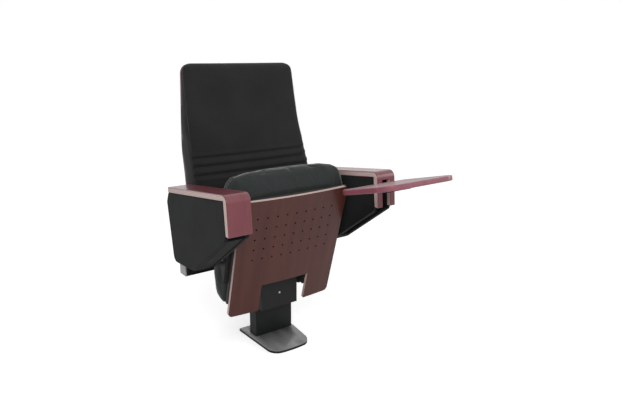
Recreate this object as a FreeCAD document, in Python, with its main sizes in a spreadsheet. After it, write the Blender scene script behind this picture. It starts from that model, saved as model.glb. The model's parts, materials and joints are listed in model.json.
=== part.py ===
import FreeCAD, Part
import math
import os
import Sketcher
from FreeCAD import Placement, Rotation, Vector

# Tip-up auditorium seat on one central foot, with a writing tablet on its right arm as seen from the front.
# Frame: millimetres, +Z up, -Y towards the stage, X across; origin on the floor at the centre of the
# four floor bolts. The seat is drawn level about its hinge axis and placed tipped up.

DRIVING = {
    # Foot and column
    "foot_half": (86, "half width of the foot"),
    "foot_front": (136, "foot reaches this far in front of the origin"),
    "foot_back": (95, "and this far behind it"),
    "foot_thick": (8, "steel floor plate"),
    "foot_round": (34, "front corners of the foot"),
    "foot_rise": (11, "height of the foot cover at the column"),
    "foot_lip": (2, "height of the foot cover at its edge"),
    "bolt_x": (50, "floor bolts, half spacing across"),
    "bolt_y": (66, "floor bolts, half spacing front to back"),
    "bolt_radius": (5.5, "clearance hole for an M10 floor bolt"),
    "column_half": (77, "half width of the column"),
    "column_front": (13, "column face in front of the origin"),
    "column_back": (32, "column face behind the origin"),
    "column_wall": (3, "wall of the steel tubes"),
    "column_top": (196, "column height above the floor"),
    # Head of the column and the beam
    "saddle_half": (55, "half width of the saddle tube"),
    "saddle_front": (48, "saddle tube reaches in front of the origin"),
    "head_half": (75, "half width of the moulded head cover"),
    "head_low": (134, "lower edge of the head cover"),
    "head_wall": (3, "wall of the head cover"),
    "head_gap": (0.4, "head cover clear of the saddle tube and the column"),
    "screw_radius": (4, "cover screw"),
    "beam_front": (152, "front face of the cross beam"),
    "beam_size": (46, "square section of the cross beam"),
    "beam_low": (242, "underside of the cross beam"),
    "plug_thick": (5, "end plugs of the beam"),
    # Arms
    "arm_inner": (243, "inner face of each arm"),
    "arm_wide": (79, "width of each arm"),
    "skin": (12, "upholstered side boards of the arms"),
    "cap_thick": (19, "bent plywood arm cap"),
    "cap_rear_y": (131, "rear end of the cap"),
    "cap_rear_z": (582, "height of the cap at the rear"),
    "cap_front_y": (278, "front face of the cap before the origin, at the top"),
    "cap_front_z": (637, "height of the cap at the front"),
    "cap_foot_y": (288, "front face of the cap before the origin, at its lower end"),
    "cap_foot_z": (514, "lower end of the cap"),
    "cap_round": (24, "outer bend of the cap"),
    "side_nose_y": (262, "side board, front of the chamfer"),
    "side_nose_z": (496, "side board, height of the chamfer"),
    "side_knee_y": (42, "side board, end of the slanting lower edge"),
    "side_knee_z": (337, "side board, height there"),
    "side_heel_y": (111, "side board, lower rear corner"),
    "side_heel_z": (326, "side board, height there"),
    "side_back_y": (146, "side board, rear edge at mid height"),
    "side_back_z": (530, "side board, height of that point"),
    "side_gap": (0.3, "side boards and cap apart"),
    "frame_thick": (6, "steel plate inside each arm"),
    "frame_inset": (7, "steel plate inside the outline of the side boards"),
    "base_thick": (8, "strip that closes the slanting underside of the arm"),
    # Slot of the right arm for the tablet
    "slot_left": (265, "slot, side nearest the seat"),
    "slot_right": (301, "slot, far side"),
    "slot_top": (607, "upper end of the slot in the front of the cap"),
    # Seat, about its hinge axis
    "hinge_y": (64, "hinge axis before the origin"),
    "hinge_z": (370, "height of the hinge axis"),
    "seat_lean": (15.2, "lean of the tipped-up seat from upright, degrees"),
    "pin_radius": (7, "hinge pin"),
    "pin_fit": (0.08, "running clearance of each pin in its bore"),
    "bush_wall": (2.5, "wall of the nylon bush"),
    "plate_inner": (226, "seat hinge plate, inner face"),
    "plate_thick": (5, "seat hinge plate"),
    "panel_half": (210, "half width of the underside panel"),
    "panel_rear": (217.8, "rear edge of the panel behind the hinge"),
    "panel_front": (223.2, "front edge of the panel before the hinge"),
    "panel_low": (48.8, "outer face of the panel under the hinge, at its sides"),
    "panel_bow": (9, "bow of the panel at mid width"),
    "panel_thick": (12, "moulded plywood"),
    "panel_round": (16, "corners of the panel"),
    "notch_half": (96, "half width of the notch for the head of the column"),
    "notch_start": (109.4, "front end of the notch behind the hinge"),
    "hole_radius": (3.4, "perforations of the panel"),
    "hole_across": (37, "perforations, spacing across"),
    "hole_along": (38.6, "perforations, spacing front to back"),
    "hole_columns": (9, "perforations in a row"),
    "hole_rows": (6, "rows of perforations"),
    "hole_margin": (65, "first row behind the front edge"),
    "pan_half": (214, "half width of the seat pan"),
    "pan_thick": (10, "plywood seat pan"),
    "pan_rear": (168, "rear edge of the pan behind the hinge"),
    "pan_setback": (4, "front edge of the pan behind the panel's"),
    "flange_thick": (4, "foot flange of the hinge plate"),
    "flange_wide": (34, "width of that flange"),
    "soft_gap": (0.3, "soft pieces clear of what carries them"),
    "cushion_half": (222, "half width of the seat cushion"),
    "cushion_rear": (171, "rear of the cushion behind the hinge"),
    "cushion_nose": (267, "nose of the cushion before the hinge"),
    "cushion_high": (74, "top of the cushion above the hinge, at its sides"),
    "cushion_crown": (9, "rise of the cushion at mid width"),
    "weight_radius": (9, "steel counterweight bar"),
    # Backrest
    "back_half_top": (219, "half width of the backrest at the top"),
    "back_half_low": (229, "half width of the backrest at the bottom"),
    "back_top": (979, "top of the backrest"),
    "back_round": (28, "upper corners of the backrest"),
    "shell_low": (330, "lower end of the back shell"),
    "shell_thick": (9, "moulded plywood back shell"),
    "board_thick": (10, "inner board that carries the back cushion"),
    "board_low": (462, "lower edge of the inner board"),
    "board_inset": (12, "edge of the inner board inside the shell's"),
    "bracket_lap": (170, "length of the back brackets behind the inner board"),
    "chest_y": (158, "face of the back cushion behind the origin, above the lumbar roll"),
    "chest_low": (776, "lower end of that face"),
    "lumbar_y": (102, "face of the lumbar roll behind the origin"),
    "lumbar_high": (687, "upper end of the lumbar roll"),
    "channel_low": (605, "lowest sewn channel of the back cushion"),
    "channel_pitch": (32, "spacing of the sewn channels"),
    "channel_deep": (5, "depth of the sewn channels"),
    "back_crown": (8, "crown of the back cushion at mid width"),
    "bracket_x": (120, "back brackets, distance from the middle"),
    "bracket_wide": (40, "width of a back bracket"),
    "bracket_thick": (6, "steel strap of the back brackets"),
    # Writing tablet, about its swing axis
    "swing_behind": (32.2, "tablet swing axis behind the front corner of the cap"),
    "swing_below": (75.5, "tablet swing axis under the front corner of the cap"),
    "tablet_tilt": (14.3, "slope of the open tablet, front up, degrees"),
    "tablet_left": (16, "board edge over the seat, from the middle of the seat"),
    "tablet_right": (308, "board edge at the arm, from the middle of the seat"),
    "tablet_near": (103, "edge towards the sitter, from the swing axis"),
    "tablet_far": (338, "edge away from the sitter, from the swing axis"),
    "tablet_thick": (16, "board of the tablet"),
    "tablet_round": (55, "corners of the tablet"),
    "bar_left": (268, "tablet arm bar, side nearest the seat"),
    "bar_thick": (6, "tablet arm bar"),
    "bar_deep": (26, "height of the tablet arm bar"),
    "bar_reach": (256, "tablet arm bar, length before the swing axis"),
    "bar_tail": (14, "tablet arm bar behind the swing axis"),
    "ledge_wide": (64, "ledge of the bar that carries the board"),
    "flip_gap": (3, "flip axis beside the bar and under its top edge"),
    "flip_radius": (1.5, "pin of the flip hinge"),
    "knuckles": (5, "knuckles of the flip hinge"),
    "leaf_thick": (2, "steel leaf of the flip hinge"),
    "board_gap": (0.4, "board above the bar"),
    "swing_radius": (5, "swing pin of the tablet"),
}


class Size:
    """A length that knows its value and the spreadsheet expression it comes from."""

    def __init__(self, value, text):
        self.value = float(value)
        self.text = text

    def __add__(self, other):
        other = size(other)
        return Size(self.value + other.value, f"({self.text} + {other.text})")

    def __sub__(self, other):
        other = size(other)
        return Size(self.value - other.value, f"({self.text} - {other.text})")

    def __mul__(self, other):
        other = size(other)
        return Size(self.value * other.value, f"({self.text} * {other.text})")

    def __truediv__(self, other):
        other = size(other)
        return Size(self.value / other.value, f"({self.text} / {other.text})")

    def __neg__(self):
        return Size(-self.value, f"(-1 * {self.text})")


def size(number):
    return number if isinstance(number, Size) else Size(number, repr(float(number)))


doc = FreeCAD.newDocument("TipUpSeat")
sheet = doc.addObject("Spreadsheet::Sheet", "Sizes")


class Sizes:
    """The driving dimensions, by name."""


s = Sizes()
for row, (name, (number, note)) in enumerate(DRIVING.items(), start=1):
    sheet.set(f"A{row}", name)
    sheet.set(f"B{row}", str(number))
    sheet.set(f"C{row}", note)
    sheet.setAlias(f"B{row}", name)
doc.recompute()
for name in DRIVING:
    setattr(s, name, Size(sheet.get(name), f"Sizes.{name}"))

PARTS = []


def plane(body, role):
    return next(f for f in body.Origin.OriginFeatures if f.Role == role)


def new_body(label, place=None):
    body = doc.addObject("PartDesign::Body", label)
    body.Label = label
    if place:
        body.Placement = place
    PARTS.append(body)
    return body


def new_sketch(body, role, start):
    """An empty sketch parallel to an origin plane; start is its distance along that plane's axis."""
    sketch = body.newObject("Sketcher::SketchObject", f"{body.Name}_sketch")
    sketch.AttachmentSupport = (plane(body, role), "")
    sketch.MapMode = "FlatFace"
    sketch.setExpression("AttachmentOffset.Base.z", size(start).text)
    return sketch


def bind(sketch, kind, *where, length):
    index = sketch.addConstraint(Sketcher.Constraint(kind, *where, length.value))
    sketch.setExpression(f"Constraints[{index}]", length.text)


def outline(sketch, corners):
    """A closed outline of straight edges through corners, each held at its two coordinates."""
    first = sketch.GeometryCount
    ends = [Vector(size(c[0]).value, size(c[1]).value, 0) for c in corners]
    for k in range(len(ends)):
        sketch.addGeometry(Part.LineSegment(ends[k], ends[(k + 1) % len(ends)]), False)
    for k in range(len(ends)):
        following = first + (k + 1) % len(ends)
        sketch.addConstraint(Sketcher.Constraint("Coincident", first + k, 2, following, 1))
    for k, corner in enumerate(corners):
        bind(sketch, "DistanceX", -1, 1, first + k, 1, length=size(corner[0]))
        bind(sketch, "DistanceY", -1, 1, first + k, 1, length=size(corner[1]))
    return sketch


def circles(sketch, centres, radius):
    for u, w in centres:
        u, w = size(u), size(w)
        circle = Part.Circle(Vector(u.value, w.value, 0), Vector(0, 0, 1), radius.value)
        index = sketch.addGeometry(circle, False)
        bind(sketch, "Radius", index, length=radius)
        bind(sketch, "DistanceX", -1, 1, index, 3, length=u)
        bind(sketch, "DistanceY", -1, 1, index, 3, length=w)
    return sketch


def extrude(body, kind, sketch, length, backwards=False):
    feature = body.newObject(kind, f"{body.Name}_{kind.split('::')[1].lower()}")
    feature.Profile = sketch
    feature.setExpression("Length", size(length).text)
    feature.Reversed = backwards
    body.Tip = feature
    doc.recompute()
    return feature


def pad(body, sketch, length):
    return extrude(body, "PartDesign::Pad", sketch, length)


def pocket(body, sketch, length):
    """Cuts from the sketch along its plane's axis."""
    before = body.Shape.Volume
    feature = extrude(body, "PartDesign::Pocket", sketch, length, backwards=True)
    if body.Shape.Volume > before - 1:
        raise RuntimeError(f"{feature.Label} cuts nothing")
    return feature


def edges_through(body, points, axis):
    """Names of the straight edges of a body that lie along axis through one of the points."""
    found = []
    for number, edge in enumerate(body.Tip.Shape.Edges, start=1):
        ends = [v.Point for v in edge.Vertexes]
        if len(ends) < 2 or (ends[1] - ends[0]).cross(axis).Length > 0.01:
            continue
        if any((ends[0] - at).cross(axis).Length < 0.01 for at in points):
            found.append(f"Edge{number}")
    return found


def fillet(body, edges, radius):
    solid = body.Tip
    feature = body.newObject("PartDesign::Fillet", f"{body.Name}_fillet")
    feature.Base = (solid, edges)
    feature.setExpression("Radius", radius.text)
    body.Tip = feature
    doc.recompute()


def round_corners(body, sketch, corners, radius):
    """Fillets the extruded edges that stand on some corners of the outline, given by their numbers."""
    place = sketch.Placement
    points = [place.multVec(sketch.getPoint(k, 1)) for k in corners]
    fillet(body, edges_through(body, points, place.Rotation.multVec(Vector(0, 0, 1))), radius)


def plate(label, role, corners, start, thick, rounds=(), radius=None, place=None):
    """A flat piece: an outline, its thickness, and one radius on some of its corners."""
    body = new_body(label, place)
    sketch = outline(new_sketch(body, role, start), corners)
    pad(body, sketch, thick)
    if rounds:
        round_corners(body, sketch, rounds, radius)
    return body


def rectangle(u0, u1, w0, w1):
    return [(u0, w0), (u1, w0), (u1, w1), (u0, w1)]


def box_tube(label, role, frame, start, length, wall):
    """A square tube: the outer rectangle and the same one a wall further in."""
    u0, u1, w0, w1 = frame
    body = new_body(label)
    sketch = outline(new_sketch(body, role, start), rectangle(u0, u1, w0, w1))
    outline(sketch, rectangle(u0 + wall, u1 - wall, w0 + wall, w1 - wall))
    pad(body, sketch, length)
    return body


def drill(body, role, centres, radius, start, depth):
    return pocket(body, circles(new_sketch(body, role, start), centres, radius), depth)


def pin(label, role, centre, radius, start, length, place=None):
    body = new_body(label, place)
    pad(body, circles(new_sketch(body, role, start), [centre], radius), length)
    return body


def rounded_wire(corners, turn):
    """A closed wire of lines with an arc at each corner; corners are (u, w, radius), turn puts (u, w) in space."""
    ends = []
    for k, (u, w, radius) in enumerate(corners):
        here = Vector(u, w, 0)
        back = (Vector(*corners[k - 1][:2], 0) - here).normalize()
        ahead = (Vector(*corners[(k + 1) % len(corners)][:2], 0) - here).normalize()
        half = back.getAngle(ahead) / 2
        run = radius / math.tan(half)
        middle = here + (back + ahead).normalize() * (radius / math.sin(half) - radius)
        ends.append((here + back * run, middle, here + ahead * run))
    edges = []
    for k, (first, middle, last) in enumerate(ends):
        edges.append(Part.Arc(turn(first), turn(middle), turn(last)).toShape())
        following = ends[(k + 1) % len(ends)][0]
        edges.append(Part.LineSegment(turn(last), turn(following)).toShape())
    return Part.Wire(edges)


def solid_part(label, shape, place=None):
    feature = doc.addObject("Part::Feature", label)
    feature.Label = label
    feature.Shape = shape
    if place:
        feature.Placement = place
    PARTS.append(feature)
    return feature


# Foot: a steel plate on the floor, and the light cover that hides its bolts and slopes up to the column.
foot_outline = [
    (-s.foot_half, -s.foot_front),
    (s.foot_half, -s.foot_front),
    (s.foot_half, s.foot_back),
    (-s.foot_half, s.foot_back),
]
foot = plate("foot_plate", "XY_Plane", foot_outline, 0, s.foot_thick, (0, 1), s.foot_round)
bolts = [(-s.bolt_x, -s.bolt_y), (s.bolt_x, -s.bolt_y), (s.bolt_x, s.bolt_y), (-s.bolt_x, s.bolt_y)]
drill(foot, "XY_Plane", bolts, s.bolt_radius, 0, s.foot_thick)

cover = plate(
    "foot_cover", "XY_Plane", foot_outline, s.foot_thick, s.foot_rise, (0, 1), s.foot_round
)
cover_top = s.foot_thick + s.foot_rise
cover_edge = s.foot_thick + s.foot_lip
for near, far in ((-s.column_front, -s.foot_front), (s.column_back, s.foot_back)):
    wedge = [(near, cover_top), (far, cover_edge), (far, cover_top)]
    slope = outline(new_sketch(cover, "YZ_Plane", -s.foot_half), wedge)
    pocket(cover, slope, s.foot_half * 2)
column_frame = (-s.column_half, s.column_half, -s.column_front, s.column_back)
opening = outline(new_sketch(cover, "XY_Plane", s.foot_thick), rectangle(*column_frame))
pocket(cover, opening, s.foot_rise)
pocket(
    cover,
    circles(new_sketch(cover, "XY_Plane", s.foot_thick), bolts, s.bolt_radius * 1.9),
    s.foot_lip,
)

# Column, and the saddle tube that carries the beam on it.
box_tube(
    "column", "XY_Plane", column_frame, s.foot_thick, s.column_top - s.foot_thick, s.column_wall
)
saddle_frame = (-s.saddle_half, s.saddle_half, s.column_top, s.beam_low)
beam_back = s.beam_front + s.beam_size
saddle = box_tube(
    "saddle_tube", "XZ_Plane", saddle_frame, -beam_back, beam_back + s.saddle_front, s.column_wall
)
end_wall = outline(new_sketch(saddle, "XZ_Plane", s.saddle_front - s.column_wall), rectangle(*saddle_frame))
pad(saddle, end_wall, s.column_wall)

# Head cover: a moulded black cap over the front of the saddle, held by one screw.
head_out = s.saddle_front + s.head_gap + s.head_wall
head_top = s.beam_low + s.head_gap + s.head_wall
head = plate(
    "head_cover",
    "XZ_Plane",
    rectangle(-s.head_half, s.head_half, s.head_low, head_top),
    s.column_front + s.head_gap,
    head_out - s.column_front - s.head_gap,
)
hollow = outline(
    new_sketch(head, "XZ_Plane", s.column_front + s.head_gap),
    rectangle(-s.head_half + s.head_wall, s.head_half - s.head_wall, s.head_low + s.head_wall, head_top - s.head_wall),
)
pocket(head, hollow, head_out - s.column_front - s.head_gap - s.head_wall)
screw_z = s.column_top - s.head_gap * 2 - s.screw_radius * 2
drill(head, "XZ_Plane", [(0, screw_z)], s.screw_radius + s.head_gap, head_out - s.head_wall, s.head_wall)
pin("cover_screw", "XZ_Plane", (0, screw_z), s.screw_radius, s.column_front, head_out - s.column_front)

# Beam across the back, with a plug at each end outside the arm frames.
beam_half = s.arm_inner + s.skin
beam_frame = (s.beam_front, beam_back, s.beam_low, s.beam_low + s.beam_size)
box_tube("cross_beam", "YZ_Plane", beam_frame, -beam_half, beam_half * 2, s.column_wall)

SIDES = {"left": -1, "right": 1}


def span(side, inner, thick):
    """Start of a piece that lies from inner to inner + thick on one side of the seat."""
    return inner if side == "right" else -(inner + thick)


# Arms: a steel plate inside, upholstered boards on both sides, and a bent plywood cap over top and front.
cap_slope = (s.cap_front_z - s.cap_rear_z) / (s.cap_rear_y + s.cap_front_y)
cap_outline = [
    (s.cap_rear_y, s.cap_rear_z),
    (-s.cap_front_y, s.cap_front_z),
    (-s.cap_foot_y, s.cap_foot_z),
    (-s.cap_foot_y + s.cap_thick, s.cap_foot_z),
    (-s.cap_front_y + s.cap_thick, s.cap_front_z - s.cap_thick - cap_slope * s.cap_thick),
    (s.cap_rear_y, s.cap_rear_z - s.cap_thick),
]


def under_cap(y, gap):
    """Height of the underside of the cap at y, less a gap."""
    return s.cap_rear_z - s.cap_thick - gap + cap_slope * (s.cap_rear_y - y)


def arm_side(inset, gap):
    """Outline of an arm seen from its side, below the cap."""
    front_top = -s.cap_front_y + s.cap_thick + gap + inset
    front_low = -s.cap_foot_y + s.cap_thick + gap + inset
    return [
        (s.cap_rear_y - inset, under_cap(s.cap_rear_y - inset, gap)),
        (front_top, under_cap(front_top, gap)),
        (front_low, s.cap_foot_z + inset),
        (-s.side_nose_y + inset, s.side_nose_z + inset),
        (-s.side_knee_y, s.side_knee_z + inset),
        (s.side_heel_y - inset, s.side_heel_z + inset),
        (s.side_back_y - inset, s.side_back_z),
    ]


hinge = (-s.hinge_y, s.hinge_z)
swing_y, swing_z = s.swing_behind - s.cap_front_y, s.cap_front_z - s.swing_below
frame_inner = s.arm_inner + s.skin
frame_outer = frame_inner + s.frame_thick
arm_outer = s.arm_inner + s.arm_wide
bush_radius = s.pin_radius + s.pin_fit + s.bush_wall
for side in SIDES:
    plate(
        f"arm_cap_{side}",
        "YZ_Plane",
        cap_outline,
        span(side, s.arm_inner, s.arm_wide),
        s.arm_wide,
        (1,),
        s.cap_round,
    )
    for name, inner in (("inner", s.arm_inner), ("outer", arm_outer - s.skin)):
        start = span(side, inner, s.skin)
        board = plate(
            f"arm_{name}_{side}", "YZ_Plane", arm_side(0, s.side_gap), start, s.skin, (5,), s.cap_round
        )
        if name == "inner":
            drill(board, "YZ_Plane", [hinge], s.pin_radius + s.pin_fit, start, s.skin)
    # The plate runs down behind the seat to the end of the beam and carries the hinge pin.
    tail = arm_side(s.frame_inset, s.side_gap)
    tail[5:6] = [
        (s.beam_front - s.frame_inset, s.side_heel_z + s.frame_inset - s.beam_size),
        (s.beam_front, s.beam_low),
        (beam_back, s.beam_low),
        (beam_back, s.beam_low + s.beam_size),
        (s.side_back_y - s.frame_inset, s.side_heel_z + s.beam_size),
    ]
    start = span(side, frame_inner, s.frame_thick)
    plate(f"arm_frame_{side}", "YZ_Plane", tail, start, s.frame_thick)
    plug = [(u, w) for u, w in rectangle(*beam_frame)]
    plate(f"beam_end_{side}", "YZ_Plane", plug, span(side, frame_outer, s.plug_thick), s.plug_thick)
    pin_inner = s.plate_inner - s.flange_thick / 2
    pin(
        f"pivot_pin_{side}",
        "YZ_Plane",
        hinge,
        s.pin_radius,
        span(side, pin_inner, frame_inner - pin_inner),
        frame_inner - pin_inner,
    )

# Strip under each arm: it closes the slanting edge between the boards, and the right one is slotted.
strip_inner = frame_outer + s.side_gap
strip_wide = arm_outer - s.skin - s.side_gap - strip_inner
for side in SIDES:
    nose = (-s.side_nose_y, s.side_nose_z)
    knee = (-s.side_knee_y, s.side_knee_z)
    rear_top = s.cap_rear_y - s.base_thick
    strip = [
        nose,
        knee,
        (s.side_heel_y, s.side_heel_z),
        (s.side_back_y, s.side_back_z),
        (s.cap_rear_y, under_cap(s.cap_rear_y, s.side_gap)),
        (rear_top, under_cap(rear_top, s.side_gap)),
        (s.side_back_y - s.base_thick, s.side_back_z),
        (s.side_heel_y - s.base_thick, s.side_heel_z + s.base_thick),
        (-s.side_knee_y, s.side_knee_z + s.base_thick),
        (-s.side_nose_y + s.base_thick, s.side_nose_z + s.base_thick),
    ]
    body = plate(
        f"arm_base_{side}",
        "YZ_Plane",
        strip,
        span(side, strip_inner, strip_wide),
        strip_wide,
    )
    if side == "right":
        mouth = outline(
            new_sketch(body, "XY_Plane", s.side_heel_z),
            rectangle(s.slot_left, s.slot_right, -s.side_nose_y - 1, -s.hinge_y),
        )
        pocket(body, mouth, s.side_nose_z)
cap = next(p for p in PARTS if p.Label == "arm_cap_right")
slot = outline(
    new_sketch(cap, "XZ_Plane", s.cap_front_y - s.cap_thick * 1.5),
    rectangle(s.slot_left, s.slot_right, s.cap_foot_z - 1, s.slot_top),
)
pocket(cap, slot, s.cap_thick * 3)

# Seat, drawn level about its hinge axis and then tipped up.
seat_place = Placement(
    Vector(0, -s.hinge_y.value, s.hinge_z.value),
    Rotation(Vector(1, 0, 0), s.seat_lean.value - 90),
)


panel = new_body("seat_panel", seat_place)
section = new_sketch(panel, "XZ_Plane", -s.panel_rear)
half, low, high, bow = s.panel_half, -s.panel_low, -s.panel_low + s.panel_thick, s.panel_bow


def bowed_band(sketch):
    """Two parallel arcs through the panel's edges and its bowed middle, closed by short sides."""
    lines = []
    for z in (low, high):
        arc = Part.Arc(
            Vector(-half.value, z.value, 0),
            Vector(0, z.value - bow.value, 0),
            Vector(half.value, z.value, 0),
        )
        lines.append(sketch.addGeometry(arc, False))
    for x in (-half, half):
        ends = Vector(x.value, low.value, 0), Vector(x.value, high.value, 0)
        lines.append(sketch.addGeometry(Part.LineSegment(*ends), False))
    outer, inner, left, right = lines
    for arc, z, end in ((outer, low, 1), (inner, high, 2)):
        sketch.addConstraint(Sketcher.Constraint("Coincident", left, end, arc, 1))
        sketch.addConstraint(Sketcher.Constraint("Coincident", right, end, arc, 2))
        bind(sketch, "DistanceX", -1, 1, arc, 1, length=-half)
        bind(sketch, "DistanceX", -1, 1, arc, 2, length=half)
        bind(sketch, "DistanceY", -1, 1, arc, 1, length=z)
        bind(sketch, "DistanceY", -1, 1, arc, 2, length=z)
        bind(sketch, "Radius", arc, length=(half * half + bow * bow) / (bow * 2))


bowed_band(section)
pad(panel, section, s.panel_rear + s.panel_front)
notch_end = s.panel_rear + s.panel_round
notch_corners = rectangle(-s.notch_half, s.notch_half, s.notch_start, notch_end)
below = -s.panel_low - s.panel_bow * 2
notch = outline(new_sketch(panel, "XY_Plane", below), notch_corners)
pocket(panel, notch, s.panel_thick + s.panel_bow * 3)
panel_corners = [
    Vector(x.value, y.value, 0) for x in (-half, half) for y in (-s.panel_front, s.panel_rear)
]
fillet(panel, edges_through(panel, panel_corners, Vector(0, 0, 1)), s.panel_round)
first_x = -(s.hole_across * (s.hole_columns - 1) / 2)
first_y = -s.panel_front + s.hole_margin
# The perforations are many, so each has six sides.
corner = [(math.cos(k * math.pi / 3), math.sin(k * math.pi / 3)) for k in range(6)]
six = [(first_x + s.hole_radius * round(u, 4), first_y + s.hole_radius * round(w, 4)) for u, w in corner]
first_hole = pocket(panel, outline(new_sketch(panel, "XY_Plane", below), six), s.panel_thick + s.panel_bow * 3)
grid = panel.newObject("PartDesign::LinearPattern", "panel_perforations")
grid.Originals = [first_hole]
grid.Direction = (plane(panel, "X_Axis"), [""])
grid.Direction2 = (plane(panel, "Y_Axis"), [""])
for suffix, step, count in (("", s.hole_across, s.hole_columns), ("2", s.hole_along, s.hole_rows)):
    setattr(grid, "Mode" + suffix, "Spacing")
    grid.setExpression("Offset" + suffix, step.text)
    grid.setExpression("Occurrences" + suffix, count.text)
panel.Tip = grid
doc.recompute()

pan_low = high + s.soft_gap
pan_front = -s.panel_front + s.pan_setback
pan_outline = [
    (-s.pan_half, pan_front),
    (s.pan_half, pan_front),
    (s.pan_half, s.pan_rear),
    (s.notch_half, s.pan_rear),
    (s.notch_half, s.notch_start),
    (-s.notch_half, s.notch_start),
    (-s.notch_half, s.pan_rear),
    (-s.pan_half, s.pan_rear),
]
plate("seat_pan", "XY_Plane", pan_outline, pan_low, s.pan_thick, place=seat_place)
pan_top = pan_low + s.pan_thick
hinge_web_front = -s.panel_thick * 6
hinge_web_rear = s.panel_thick * 7
web_top = bush_radius * 2
for side in SIDES:
    web = [
        (hinge_web_front, pan_top),
        (hinge_web_rear, pan_top),
        (s.bush_wall * 6, web_top),
        (-s.bush_wall * 6, web_top),
    ]
    body = plate(
        f"hinge_plate_{side}",
        "YZ_Plane",
        web,
        span(side, s.plate_inner, s.plate_thick),
        s.plate_thick,
        (2, 3),
        s.pin_radius,
        seat_place,
    )
    flange = outline(
        new_sketch(body, "YZ_Plane", span(side, s.plate_inner - s.flange_wide, s.flange_wide)),
        rectangle(hinge_web_front, hinge_web_rear, pan_top, pan_top + s.flange_thick),
    )
    pad(body, flange, s.flange_wide)
    start = span(side, s.plate_inner, s.plate_thick)
    drill(body, "YZ_Plane", [(0, 0)], bush_radius, start, s.plate_thick)
    bush = pin(f"pivot_bush_{side}", "YZ_Plane", (0, 0), bush_radius, start, s.plate_thick, seat_place)
    drill(bush, "YZ_Plane", [(0, 0)], s.pin_radius + s.pin_fit, start, s.plate_thick)
weight_y = s.notch_start - s.weight_radius * 2
weight_z = pan_top + s.weight_radius
weight_half = s.plate_inner - s.flange_wide - s.pan_setback
pin(
    "counterweight",
    "YZ_Plane",
    (weight_y, weight_z),
    s.weight_radius,
    -weight_half,
    weight_half * 2,
    seat_place,
)

# Seat cushion: side profiles lofted across the seat, drawn in at the ends and crowned in the middle.
cushion_bottom = pan_top.value + s.flange_thick.value + s.soft_gap.value


def cushion_profile(shrink, crown):
    nose = s.cushion_nose.value - shrink
    rear = s.cushion_rear.value - shrink
    top = s.cushion_high.value + crown - shrink * 0.8
    floor = cushion_bottom + shrink * 0.25
    front_edge = s.panel_front.value - s.pan_setback.value - shrink * 0.3
    deep = top - floor
    return [
        (-front_edge, floor, 6),
        (-nose, floor + deep * 0.34, deep * 0.22),
        (-nose + 8, top - deep * 0.12, deep * 0.2),
        (-nose + 62, top + 2, 60),
        (rear - 62, top, 44),
        (rear - 5, top - deep * 0.42, 26),
        (rear, floor, 12),
    ]


def across(x):
    return lambda p: Vector(x, p.x, p.y)


def loft_across(profile, stations):
    """A loft through one side profile per station: (x, how far drawn in, how far crowned)."""
    wires = [rounded_wire(profile(inset, crown), across(x)) for x, inset, crown in stations]
    return Part.makeLoft(wires, True, True)


def soft_stations(half, crown, draw=16):
    """Stations of a cushion: drawn in at its sides along a quarter round, crowned in the middle."""
    rows = []
    for turn in (0, 30, 60, 90):
        angle = math.radians(turn)
        rows.append((-half + draw * 1.5 * (1 - math.cos(angle)), draw * (1 - math.sin(angle)), 0))
    for share in (0.66, 0.33):
        rows.append((-half * share, 0, crown * (1 - share**2)))
    return rows + [(0, 0, crown)] + [(-x, inset, rise) for x, inset, rise in reversed(rows)]


cushion = loft_across(cushion_profile, soft_stations(s.cushion_half.value, s.cushion_crown.value))
head_room = s.notch_start.value - 1
notch_tool = Part.makeBox(
    s.notch_half.value * 2 - 4,
    s.cushion_rear.value,
    s.cushion_high.value * 4,
    Vector(-s.notch_half.value + 2, head_room, -s.cushion_high.value * 2),
)
weight_tool = Part.makeCylinder(
    s.weight_radius.value + s.soft_gap.value,
    weight_half.value * 2 + 2,
    Vector(-weight_half.value - 1, weight_y.value, weight_z.value),
    Vector(1, 0, 0),
)
solid_part("seat_cushion", cushion.cut(notch_tool).cut(weight_tool), seat_place)

# Backrest: the moulded shell behind follows one smooth side curve, the board and cushion lie in front.
BACK_CURVE = ((178, 0.0), (190, 0.2), (216, 0.46), (224, 0.62), (217, 0.82), (206, 1.0))


def back_points(offset):
    rise = s.back_top.value - s.shell_low.value
    return [Vector(0, y - offset, s.shell_low.value + rise * t) for y, t in BACK_CURVE]


def back_band(front, rear, half_low, half_top):
    """A sheet between two offsets of the back's side curve, cut to the outline of the backrest."""
    edges = []
    for offset in (front, rear):
        curve = Part.BSplineCurve()
        curve.interpolate(back_points(offset))
        edges.append(curve.toShape())
    ends = [
        Part.LineSegment(back_points(front)[k], back_points(rear)[k]).toShape() for k in (0, -1)
    ]
    face = Part.Face(Part.Wire([edges[0], ends[1], edges[1], ends[0]]))
    wide = half_low + 10
    face.translate(Vector(-wide, 0, 0))
    return face.extrude(Vector(wide * 2, 0, 0))


def back_outline(low, inset):
    """Front view of the backrest as a tall block, its top corners rounded."""
    top = s.back_top.value - inset
    rise = s.back_top.value - s.shell_low.value
    taper = (s.back_half_low.value - s.back_half_top.value) / rise
    half_at = lambda z: s.back_half_top.value + taper * (s.back_top.value - z) - inset
    corners = [
        (-half_at(low), low, 8),
        (half_at(low), low, 8),
        (half_at(top), top - 4, s.back_round.value),
        (0, top, 400),
        (-half_at(top), top - 4, s.back_round.value),
    ]
    face = Part.Face(rounded_wire(corners, lambda p: Vector(p.x, -50, p.y)))
    return face.extrude(Vector(0, 400, 0))


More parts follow.
